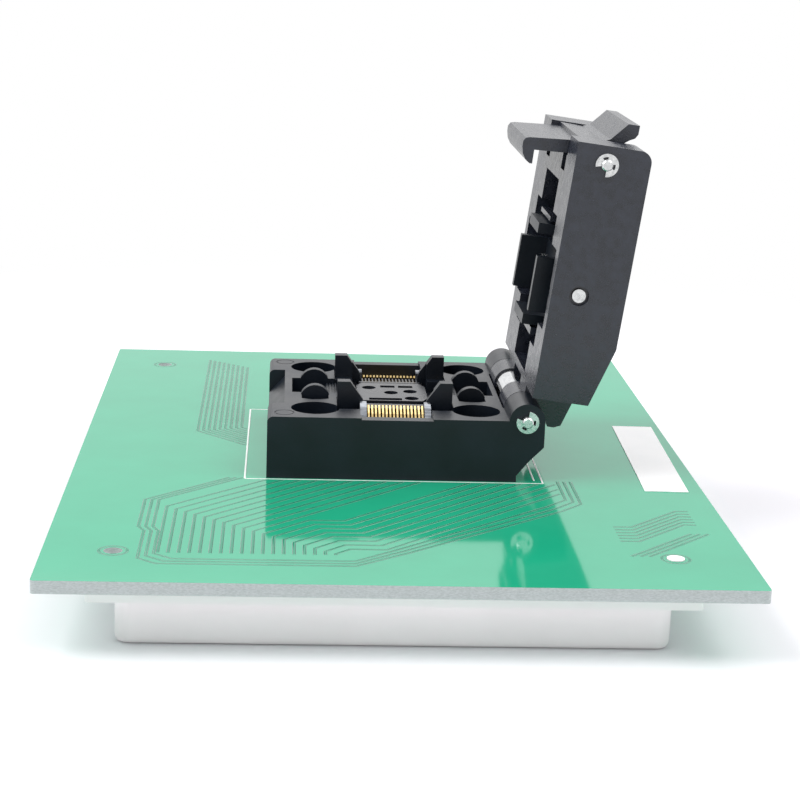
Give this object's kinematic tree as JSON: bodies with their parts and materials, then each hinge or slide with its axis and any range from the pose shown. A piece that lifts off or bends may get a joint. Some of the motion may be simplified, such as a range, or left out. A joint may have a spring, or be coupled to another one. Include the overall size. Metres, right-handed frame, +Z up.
{
  "type": "zif test socket on adapter board",
  "caption": "Black clamshell zero-insertion-force test socket for a narrow flat chip package, lid open, on a green adapter board with a white housing below.",
  "frame": {"origin": "middle of the underside of the whole adapter, on the surface it stands on", "axes": "+Z up; +X from the latch side of the socket to its hinge side; +Y to the rear, along the board's long side and the hinge pin"},
  "size_m": [0.086, 0.119, 0.0581],
  "materials": {
    "white_plastic": "satin moulded",
    "board_green": "glossy solder mask",
    "white_label": "matt printed paper, left bare",
    "header_black": "matt moulded",
    "gold_plate": "thin gold plating",
    "black_plastic": "satin moulded",
    "grey_plastic": "satin moulded",
    "bright_steel": "bright turned and stamped",
    "polished_steel": "polished tube"
  },
  "bodies": {
    "base": {"housing": "white_plastic", "board": "board_green", "label": "white_label", "header_left": "header_black", "header_right": "header_black", "header_terminals": "gold_plate", "socket_base": "black_plastic", "nest_plate": "grey_plastic", "guide_left": "black_plastic", "guide_right": "black_plastic", "guide_pins": "bright_steel", "row_guide_front": "black_plastic", "row_guide_rear": "black_plastic", "row_end_guards": "bright_steel", "contacts_front": "gold_plate", "contacts_rear": "gold_plate", "retainer_front": "grey_plastic", "retainer_rear": "grey_plastic", "hinge_pin": "bright_steel", "hinge_clips": "bright_steel", "hinge_sleeve": "polished_steel"},
    "lid": {"lid": "black_plastic", "pusher_pin": "bright_steel", "pusher_springs": "bright_steel", "latch_pin": "bright_steel", "latch_clips": "bright_steel", "latch_spring": "bright_steel"},
    "pusher": {"pusher": "black_plastic"},
    "latch": {"latch": "black_plastic"}
  },
  "joints": [
    {"name": "lid_hinge", "type": "hinge", "parent": "base", "child": "lid", "pos_m": [0.0188, 0.0003, 0.01819], "axis": [0, -1, 0], "range_deg": [0, 97.07]},
    {"name": "latch_hinge", "type": "hinge", "parent": "lid", "child": "latch", "pos_m": [0.02751, 0.0003, 0.05349], "axis": [0, 1, 0], "range_deg": [0, 9], "stiffness_Nm_per_rad": 0.01, "springref_deg": -17.19},
    {"name": "pusher_slide", "type": "slide", "parent": "lid", "child": "pusher", "axis": [0.9924, 0, -0.1231], "range_m": [0, 0.0016]}
  ],
  "couplings": [
    {"joint": "pusher_slide", "follows": "lid_hinge", "m_per_rad": 0.000944}
  ]
}
